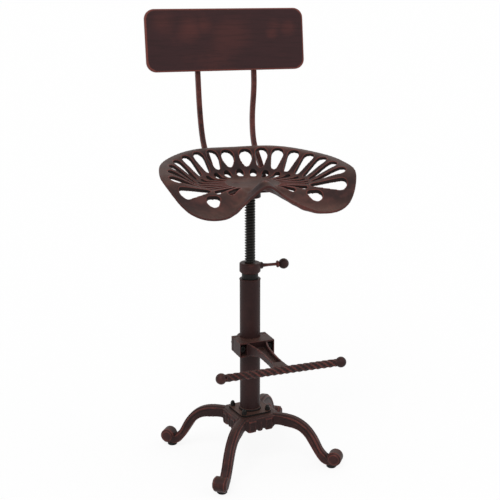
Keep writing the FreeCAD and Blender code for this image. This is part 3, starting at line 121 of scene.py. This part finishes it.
class Graph:
    """Node tree of a material or of the world."""

    ARRIS_SAMPLES = 6
    ARRIS_GAIN = 3.4

    def __init__(self, owner):
        owner.use_nodes = True
        self.owner = owner
        self.tree = owner.node_tree
        self.tree.nodes.clear()

    def node(self, kind, settings=None, values=None, output=0):
        made = self.tree.nodes.new(kind)
        for name, value in (settings or {}).items():
            setattr(made, name, value)
        for name, value in (values or {}).items():
            if isinstance(value, Wire):
                self.tree.links.new(value.socket, made.inputs[name])
            else:
                made.inputs[name].default_value = value
        return None if output is None else Wire(self, made.outputs[output])

    def place(self):
        """Spot on the piece, in metres."""
        return self.node("ShaderNodeTexCoord", output="Object")

    def noise(self, scale, detail=4.0, roughness=0.55, stretch=(1, 1, 1)):
        spot = self.node("ShaderNodeMapping", None, {"Vector": self.place(), "Scale": stretch})
        return self.node("ShaderNodeTexNoise", None, {
            "Vector": spot, "Scale": scale, "Detail": detail, "Roughness": roughness})

    def mix(self, share, first, second):
        return self.node("ShaderNodeMix", {"data_type": "RGBA"}, {0: share, 6: first, 7: second},
                         output=2)

    def mark(self, name):
        """Value kept per point of the mesh, such as how proud a spot stands."""
        return self.node("ShaderNodeAttribute", {"attribute_name": name}, output="Fac")

    def arris(self, radius):
        """Closeness to an edge, from 0 on the flat to about 1 on a square edge."""
        soft = self.node("ShaderNodeBevel", {"samples": self.ARRIS_SAMPLES}, {"Radius": radius})
        flat = self.node("ShaderNodeNewGeometry", output="Normal")
        agree = self.node("ShaderNodeVectorMath", {"operation": "DOT_PRODUCT"},
                          {0: soft, 1: flat}, output="Value")
        return (1 - agree) * self.ARRIS_GAIN

    def facing(self, axis):
        """Part of the surface's direction along X, Y or Z."""
        direction = self.node("ShaderNodeNewGeometry", output="Normal")
        return self.node("ShaderNodeSeparateXYZ", None, {0: direction}, output=axis)

    def seen_by(self, *rays):
        """1 to the kinds of ray named, such as what the camera sees, and 0 to all others."""
        seen, *others = (self.node("ShaderNodeLightPath", output=ray) for ray in rays)
        for other in others:
            seen = seen.most(other)
        return seen

    def bump(self, height, distance, strength=1.0):
        return self.node("ShaderNodeBump", None, {
            "Height": height, "Distance": distance, "Strength": strength})

    def skin(self, colour, roughness, normal=None, metallic=0.0, specular=0.15):
        values = {"Base Color": colour, "Roughness": roughness, "Metallic": metallic,
                  "Specular IOR Level": specular}
        if normal is not None:
            values["Normal"] = normal
        return self.node("ShaderNodeBsdfPrincipled", None, values)

    def finish(self, shader, kind="ShaderNodeOutputMaterial"):
        self.node(kind, None, {"Surface": shader}, output=None)
        return self.owner


def rubbed_finish(name, edge_radius=None, warmth=0.5, rub_level=0.85, rub_at=(0.25, 0.75),
                  lump_level=1.0, sheen_level=0.5, black_sides=False, slots=False):
    """Near-black brown with warm patches, copper-red rub on arrises, near-black hollows, painted
    tan sheen on upward faces and painted shade in slots.

    Arrises come from an edge radius on a CAD node, and from the mark "proud" on a casting.
    """
    g = Graph(bpy.data.materials.new(name))
    patches = g.noise(11, detail=5)
    streaks = g.noise(60, detail=5, roughness=0.65)
    grain = g.noise(420, detail=4, roughness=0.6)
    proud = g.arris(edge_radius) if edge_radius else g.mark("proud")
    lumps = (streaks - 0.5) * 0.55 + (patches - 0.5) * 0.5 + (grain - 0.5) * 0.3
    rub = (proud + lumps * lump_level).smooth(*rub_at)
    if slots:
        rub = rub * (0.2 + 0.8 * g.mark("inner"))
    # Near-black where the surface lies below its relaxed shape
    hollow = (proud * -1 + lumps * 0.35).smooth(0.12, 0.7)
    warm = (patches * 0.65 + streaks * 0.35).smooth(0.44, 0.66) * warmth
    # Painted sheen: upward faces turn tan, as the top light's reflection does, broken up by
    # patches
    top_sheen = g.facing("Z").smooth(0.72, 1.0) * (0.4 + 0.9 * (patches - 0.5)) * sheen_level
    colour = g.mix(warm, DARK_BROWN, WARM_BROWN)
    colour = g.mix(top_sheen, colour, SHEEN_TAN)
    colour = g.mix(rub * rub_level, colour, COPPER_RED)
    colour = g.mix(hollow * 0.85, colour, NEAR_BLACK)
    if black_sides:
        side = 1 - g.facing("Z").size().smooth(0.4, 0.8)
        colour = g.mix(side * 0.92, colour, OILED_BLACK)
    # Painted shade: the walls of the pan's slots turn near-black
    if slots:
        colour = g.mix(g.mark("slot_wall_shade") * 0.9, colour, NEAR_BLACK)
    roughness = 0.5 + 0.22 * (streaks - 0.5) - 0.08 * rub + 0.18 * hollow
    relief = g.bump(streaks * 0.6 + grain * 0.4, 0.35 * MM, 0.6)
    return g.finish(g.skin(colour, roughness, relief, metallic=rub * 0.3))


def black_finish(name, edge_radius=0.8 * MM, worn=0.35):
    """Oiled black steel, a little grey where handled."""
    g = Graph(bpy.data.materials.new(name))
    cloud = g.noise(45, detail=5)
    grain = g.noise(600, detail=3)
    edge = g.arris(edge_radius) if edge_radius else g.mark("proud")
    wear = (edge + (cloud - 0.5) * 0.8).smooth(0.3, 0.95) * worn
    colour = g.mix(wear, OILED_BLACK, WORN_GREY)
    roughness = 0.45 + 0.2 * (cloud - 0.5)
    relief = g.bump(grain, 0.1 * MM, 0.5)
    return g.finish(g.skin(colour, roughness, relief, metallic=wear * 0.5))


def stained_board(name):
    """Dark stained board with level grain, red on its arrises and where it was rubbed back."""
    g = Graph(bpy.data.materials.new(name))
    clouds = g.noise(14, detail=5)
    grain = g.noise(16, detail=6, roughness=0.7, stretch=(1, 6, 14))
    fine = g.noise(130, detail=4, stretch=(0.12, 1, 1.5))
    ragged = (clouds - 0.5) * 1.1 + (grain - 0.5) * 0.5
    red = (clouds * 0.7 + grain * 0.3).smooth(0.5, 0.7) * 0.45
    place = g.place()
    for x, height, reach, level in RUBBED_SPOTS:
        gap = g.node("ShaderNodeVectorMath", {"operation": "DISTANCE"},
                     {0: place, 1: (x * MM, PANEL_FACE, height * MM)}, output="Value")
        red = red.most((1 - gap * (1 / (reach * MM)) + ragged).smooth(0.1, 1.0) * level)
    colour = g.mix(red, STAIN_DARK, STAIN_RED)
    colour = g.mix((1 - fine).smooth(0.42, 0.7) * 0.25, colour, NEAR_BLACK)
    arris = (g.mark("proud") + (fine - 0.5) * 0.2 + (clouds - 0.5) * 0.4).smooth(0.32, 0.62)
    colour = g.mix(arris * 0.95, colour, COPPER_RED)
    roughness = 0.52 + 0.16 * (fine - 0.5)
    relief = g.bump(fine * 0.7 + grain * 0.3, 0.2 * MM, 0.5)
    return g.finish(g.skin(colour, roughness, relief))


def rubber_finish(name):
    """Matt black rubber with grey scuffs."""
    g = Graph(bpy.data.materials.new(name))
    grain = g.noise(900, detail=3)
    scuff = g.noise(90, detail=4).smooth(0.5, 0.8)
    colour = g.mix(scuff * 0.4, PAD_BLACK, WORN_GREY)
    return g.finish(g.skin(colour, 0.72 + 0.1 * scuff, g.bump(grain, 0.1 * MM, 0.6)))


def nylon_finish(name):
    """Off-white nylon, a little clouded."""
    g = Graph(bpy.data.materials.new(name))
    grain = g.noise(300, detail=3)
    colour = g.mix(grain * 0.3, NYLON_PALE, NYLON_DULL)
    relief = g.bump(grain, 0.1 * MM, 0.4)
    return g.finish(g.skin(colour, 0.45 + 0.1 * grain, relief, specular=0.5))


def floor_finish(name, shade):
    """White paper that keeps a light shadow to the eye and to mirrors, and lights nothing."""
    g = Graph(bpy.data.materials.new(name))
    seen = g.seen_by("Is Camera Ray", "Is Glossy Ray", "Is Transmission Ray")
    white = g.node("ShaderNodeEmission", None, {"Color": PURE_WHITE, "Strength": 1.0})
    paper = g.skin(PAPER_WHITE, 0.9, specular=0.0)
    g.owner.cycles.emission_sampling = "NONE"
    return g.finish(g.node("ShaderNodeMixShader", None,
                           {"Fac": seen * (1 - shade), 1: paper, 2: white}))


# Each finish sets how strong its painted tan sheen on upward faces is
cast_iron = rubbed_finish("rubbed_cast_iron", rub_level=0.8, rub_at=(0.15, 1.0),
                          lump_level=1.7, sheen_level=0.6)
pan_iron = rubbed_finish("rubbed_pan_iron", warmth=1.3, rub_level=0.9, rub_at=(0.18, 0.46),
                         lump_level=0.9, sheen_level=1.0, slots=True)
plain_iron = rubbed_finish("rubbed_plain_iron", edge_radius=2.2 * MM)
tube_iron = rubbed_finish("rubbed_tube_iron", edge_radius=1.8 * MM, warmth=0.2, sheen_level=0.2)
bar_iron = rubbed_finish("rubbed_bar_iron", edge_radius=4 * MM, warmth=1.3, rub_at=(-0.15, 0.35))
flange_iron = rubbed_finish("black_edged_plate", edge_radius=1.2 * MM, sheen_level=1.7,
                            black_sides=True)
black_steel = black_finish("oiled_black_steel")
thread_steel = black_finish("oiled_black_thread", edge_radius=None, worn=0.55)
board = stained_board("stained_board")
rubber = rubber_finish("pad_rubber")
nylon = nylon_finish("bush_nylon")

# Finish of each slot, and of the CAD nodes that differ from their slot
SLOT_FINISH = {"rubbed_iron": plain_iron, "pan_iron": plain_iron, "rubbed_steel": plain_iron,
               "board_finish": board, "black_steel": black_steel, "black_rubber": rubber,
               "nylon": nylon}
SPECIAL_FINISH = {"column_flange": flange_iron, "column_tube": tube_iron,
                  "lock_lever": bar_iron, "seat_bolts": plain_iron,
                  "back_bar_left": bar_iron, "back_bar_right": bar_iron}
for name, thing in nodes.items():
    thing.data.materials.clear()
    thing.data.materials.append(SPECIAL_FINISH.get(name, SLOT_FINISH[slot_of[name]]))


def link(name, data):
    """Object of a mesh, lamp or camera, in the scene."""
    thing = bpy.data.objects.new(name, data)
    bpy.context.scene.collection.objects.link(thing)
    return thing


def add_piece(name, mesh, material, stands_for):
    """Finished mesh that stands for a CAD node and moves with its body."""
    thing = link(name, mesh)
    mesh.materials.clear()
    mesh.materials.append(material)
    mesh.shade_smooth()
    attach(thing, body_of[stands_for])
    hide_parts(stands_for)


def mesh_from(work, name):
    """Mesh of a bmesh, which it uses up."""
    mesh = bpy.data.meshes.new(name)
    work.to_mesh(mesh)
    work.free()
    return mesh


def read_points(mesh, field):
    """Place ("co") or normal of each point, a row each."""
    values = np.empty(len(mesh.vertices) * 3)
    mesh.vertices.foreach_get(field, values)
    return values.reshape(-1, 3)


def write_points(mesh, spots):
    mesh.vertices.foreach_set("co", spots.ravel())
    mesh.update()


def keep_mark(mesh, name, values):
    """Keeps one number per point, for a finish to read."""
    mesh.attributes.new(name, "FLOAT", "POINT").data.foreach_set("value", values)


def edge_ends(mesh):
    """First points of all edges, and second points."""
    ends = np.empty(len(mesh.edges) * 2, int)
    mesh.edges.foreach_get("vertices", ends)
    return ends.reshape(-1, 2).T


def neighbour_mean(spots, a, b):
    """Mean place of each point's neighbours along its edges."""
    count = len(spots)
    valence = np.bincount(a, minlength=count) + np.bincount(b, minlength=count)
    total = np.stack([np.bincount(a, spots[b, i], count) + np.bincount(b, spots[a, i], count)
                      for i in range(3)], axis=1)
    return total / np.maximum(valence, 1)[:, None]


def mark_proud(mesh, rounds, extra=0):
    """Keeps how far each point stands out from the relaxed surface, in millimetres."""
    spots = read_points(mesh, "co")
    a, b = edge_ends(mesh)
    soft = spots
    for _ in range(rounds):
        soft = neighbour_mean(soft, a, b)
    outward = read_points(mesh, "normal")
    keep_mark(mesh, "proud", ((spots - soft) * outward).sum(axis=1) / MM + extra)


# Seat pan: width of its slotless rim, and how many ways round the rim is measured
RIM_BAND = 13 * MM
BEARINGS = 180


def mark_slots(mesh):
    """Marks what lies inside the pan's rim, and the walls of its slots for their painted shade.
    """
    spots = read_points(mesh, "co")
    reach = np.hypot(spots[:, 0], spots[:, 1])
    share_round = np.arctan2(spots[:, 1], spots[:, 0]) / math.tau % 1
    bearing = (share_round * (BEARINGS - 1)).astype(int)
    rim = np.zeros(BEARINGS)
    np.maximum.at(rim, bearing, reach)
    depth = rim[bearing] - reach
    upright = 1 - np.abs(read_points(mesh, "normal")[:, 2])
    # Upright faces well inside the rim are slot walls, which take the painted shade
    keep_mark(mesh, "slot_wall_shade", np.clip((upright - 0.3) / 0.3, 0, 1) * (depth > RIM_BAND))
    keep_mark(mesh, "inner", np.clip(depth / RIM_BAND - 0.3, 0, 1))


def shaped(mesh, name, *modifiers):
    """New mesh from an old one run through modifiers, each a kind and its settings."""
    holder = link(name, mesh)
    for kind, settings in modifiers:
        modifier = holder.modifiers.new(kind.title(), kind)
        for field, value in settings.items():
            setattr(modifier, field, value)
    graph = bpy.context.evaluated_depsgraph_get()
    made = bpy.data.meshes.new_from_object(holder.evaluated_get(graph))
    bpy.data.objects.remove(holder)
    bpy.data.meshes.remove(mesh)
    return made


def as_cast(node, voxel, relax, rounds=9, form=None, keep=1.0, mark=None):
    """Softened mesh of a CAD node: welded, remeshed, relaxed, formed, marked and thinned.

    voxel is in mm, relax counts smoothing steps, rounds sets how wide the mark "proud" looks,
    form moves the points and returns what it adds to that mark, keep is the share of faces
    left, and mark adds marks at the end.
    """
    work = bmesh.new()
    work.from_mesh(nodes[node].data)
    bmesh.ops.remove_doubles(work, verts=work.verts, dist=WELD)
    mesh = shaped(mesh_from(work, node + "_rough"), node + "_rough",
                  ("REMESH", {"mode": "VOXEL", "voxel_size": voxel * MM}),
                  ("SMOOTH", {"factor": 0.5, "iterations": relax}))
    mark_proud(mesh, rounds, form(mesh) if form else 0)
    if keep < 1:
        mesh = shaped(mesh, node + "_fine", ("DECIMATE", {"ratio": keep}))
    if mark:
        mark(mesh)
    return mesh


# Base: the block between the legs, whose carving is worn round
BLOCK_REACH = 84 * MM
APRON_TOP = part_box("column_flange")[0].z - 8 * MM
WEAR_ROUNDS = 6


def soften_aprons(mesh):
    """Wears the carving between the legs round."""
    spots = read_points(mesh, "co")
    zone = (np.hypot(spots[:, 0], spots[:, 1]) < BLOCK_REACH) & (spots[:, 2] < APRON_TOP)
    a, b = edge_ends(mesh)
    for _ in range(WEAR_ROUNDS):
        spots[zone] = neighbour_mean(spots, a, b)[zone]
    write_points(mesh, spots)
    return 0


# Footrest bar: where it runs, half its length, one turn of its twist, and the ridges' height
REST_TURN = math.radians(4)
BAR_Y, BAR_Z = -185 * MM, 272 * MM
BAR_HALF = 133 * MM
BAR_TWIST = 56 * MM
BAR_SIDES = 4
RIDGE = 0.5 * MM
RIDGE_MARK = 0.3
# The ridges fade out this far from the bar's middle line and this short of its ends
TWIST_REACH, REACH_FADE = 11 * MM, 2 * MM
PLAIN_END, END_FADE = 12 * MM, 4 * MM


def wring_bar(mesh):
    """Deepens the twisted ridges of the footrest's bar."""
    spots = read_points(mesh, "co")
    cos, sin = math.cos(REST_TURN), math.sin(REST_TURN)
    along = cos * spots[:, 0] + sin * spots[:, 1]
    across = cos * spots[:, 1] - sin * spots[:, 0] - BAR_Y
    up = spots[:, 2] - BAR_Z
    reach = np.hypot(across, up)
    turn = np.arctan2(up, across) - math.tau * (along + BAR_HALF) / BAR_TWIST
    near = np.clip((TWIST_REACH - reach) / REACH_FADE, 0, 1)
    near = near * np.clip((BAR_HALF - PLAIN_END - np.abs(along)) / END_FADE, 0, 1)
    ridge = near * np.cos(BAR_SIDES * turn - math.pi)
    push = RIDGE * ridge / np.maximum(reach, MM)
    spots[:, 0] -= push * across * sin
    spots[:, 1] += push * across * cos
    spots[:, 2] += push * up
    write_points(mesh, spots)
    return RIDGE_MARK * ridge


# Piece, the CAD node it stands for, its finish and how it is cast
CASTS = (
    ("base_cast", "base_casting", cast_iron, {"voxel": 1.25, "relax": 3, "form": soften_aprons}),
    ("footrest_cast", "footrest", cast_iron, {"voxel": 0.85, "relax": 2, "form": wring_bar}),
    ("clamp_back_cast", "clamp_back", cast_iron, {"voxel": 0.8, "relax": 3}),
    ("seat_pan_cast", "seat_pan", pan_iron,
     {"voxel": 1.25, "relax": 2, "rounds": 8, "keep": 0.52, "mark": mark_slots}),
    ("lock_ring_cast", "lock_ring", cast_iron, {"voxel": 0.6, "relax": 4}),
    ("seat_mount_cast", "seat_mount", cast_iron, {"voxel": 1.0, "relax": 3}),
    ("back_panel_board", "back_panel", board, {"voxel": 1.3, "relax": 2, "rounds": 16}),
)
for name, node, finish, steps in CASTS:
    add_piece(name, as_cast(node, **steps), finish, node)

# Lift screw: one trapezoidal thread, and where in a turn its corners come
PITCH = 6 * MM
THREAD_DEPTH = 2.9 * MM
THREAD_STEPS = 28
THREAD_CORNERS = (("root", 0), ("root", 0.42), ("crest", 0.54), ("crest", 0.88), ("root", 1))


def threaded_rod(radius, low, high):
    """Rod with a right-hand thread, spun up its axis one profile a turn and cut square."""
    turns = math.ceil((high - low) / PITCH) + 3
    start = low - 1.5 * PITCH
    height_of = {"root": radius - THREAD_DEPTH, "crest": radius}
    work = bmesh.new()
    ring = [work.verts.new((height_of[level], 0, start + share * PITCH))
            for level, share in THREAD_CORNERS]
    edges = [work.edges.new(pair) for pair in zip(ring, ring[1:])]
    bmesh.ops.spin(work, geom=ring + edges, cent=(0, 0, 0), axis=(0, 0, 1),
                   dvec=(0, 0, PITCH / THREAD_STEPS), angle=math.tau * turns,
                   steps=THREAD_STEPS * turns, use_merge=False)
    bmesh.ops.remove_doubles(work, verts=work.verts, dist=WELD)
    for height, way in ((low, -1), (high, 1)):
        cut = bmesh.ops.bisect_plane(work, geom=work.verts[:] + work.edges[:] + work.faces[:],
                                     plane_co=(0, 0, height), plane_no=(0, 0, way),
                                     clear_outer=True)["geom_cut"]
        rim = [e for e in cut if isinstance(e, bmesh.types.BMEdge)]
        bmesh.ops.contextual_create(work, geom=rim)
    bmesh.ops.recalc_face_normals(work, faces=work.faces)
    return mesh_from(work, "lift_screw_thread")


# It runs from the guide bush to the seat's hub
screw_mesh = threaded_rod(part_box("lift_screw")[1].x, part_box("guide_bush")[1].z,
                          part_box("seat_mount")[0].z)
mark_proud(screw_mesh, 2)
add_piece("lift_screw_thread", screw_mesh, thread_steel, "lift_screw")

# Stage: a wide floor, two lamps and a pale sky
FLOOR_REACH = 60
FLOOR_SHADE = 0.12
SKY_LEVEL = 0.68
SKY_SEEN = 1.0
plane = bmesh.new()
bmesh.ops.create_grid(plane, x_segments=1, y_segments=1, size=FLOOR_REACH)
floor = link("floor", mesh_from(plane, "floor"))
floor.data.materials.append(floor_finish("pale_floor", FLOOR_SHADE))


def lamp(name, azimuth, elevation, strength, spread):
    """Soft distant lamp, seen from the object at an azimuth from +Y towards +X."""
    light = bpy.data.lights.new(name, "SUN")
    light.energy = strength
    light.angle = math.radians(spread)
    thing = link(name, light)
    thing.rotation_euler = (math.radians(90 - elevation), 0, math.radians(180 - azimuth))


lamp("key", azimuth=-145, elevation=52, strength=1.15, spread=35)
lamp("fill", azimuth=115, elevation=30, strength=0.45, spread=60)

sky = Graph(bpy.data.worlds.new("studio"))
sky_strength = sky.node("ShaderNodeMapRange", None, {
    "Value": sky.seen_by("Is Camera Ray", "Is Glossy Ray"), "To Min": SKY_LEVEL,
    "To Max": SKY_SEEN})
backdrop = sky.node("ShaderNodeBackground", None,
                    {"Color": PURE_WHITE, "Strength": sky_strength})
bpy.context.scene.world = sky.finish(backdrop, "ShaderNodeOutputWorld")

# Camera, fitted to the photograph
CAMERA_DISTANCE = 2182.18 * MM
CAMERA_HEIGHT = 1051.49 * MM
CAMERA_AZIMUTH = math.radians(-17)
CAMERA_PITCH = 0.2553
FRAME_PIXELS = 500
FOCAL_PIXELS = 1043.64
SENSOR_WIDTH = 36
camera = bpy.data.cameras.new("camera")
camera.sensor_width = SENSOR_WIDTH
camera.lens = SENSOR_WIDTH * FOCAL_PIXELS / FRAME_PIXELS
viewer = link("camera", camera)
viewer.location = (math.sin(CAMERA_AZIMUTH) * CAMERA_DISTANCE,
                   -math.cos(CAMERA_AZIMUTH) * CAMERA_DISTANCE, CAMERA_HEIGHT)
viewer.rotation_euler = (math.pi / 2 - CAMERA_PITCH, 0, CAMERA_AZIMUTH)
bpy.context.scene.camera = viewer
bpy.context.scene.view_settings.view_transform = "Standard"
